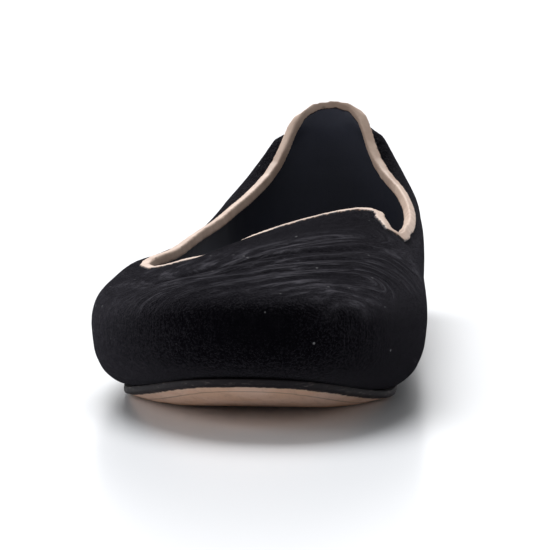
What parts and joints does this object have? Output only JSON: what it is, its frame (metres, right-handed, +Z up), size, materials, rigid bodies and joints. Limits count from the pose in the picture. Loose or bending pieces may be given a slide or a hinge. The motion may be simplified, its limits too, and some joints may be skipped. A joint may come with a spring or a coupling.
{
  "type": "velvet slipper loafer",
  "caption": "Low velvet slipper loafer with a lasted hollow upper, tongue-like throat with side notches, leather binding, insole, thin leather sole and low heel.",
  "frame": {"origin": "on the floor, under the middle of the shoe's bounding box", "axes": "+Z up, the toe points along -Y, the heel along +Y, +X is the inner side of the foot"},
  "size_m": [0.0868, 0.254, 0.0612],
  "materials": {
    "velvet": "black cotton velvet, crushed across the vamp",
    "binding": "smooth pale rose-tan leather",
    "sock": "smooth near-black lining leather",
    "sole": "worn tan sole leather with a dark dressed edge",
    "heel": "dark dressed stacked leather"
  },
  "bodies": {
    "root": {"upper": "velvet", "topline_binding": "binding", "insole": "sock", "outsole": "sole", "heel": "heel"}
  },
  "joints": []
}
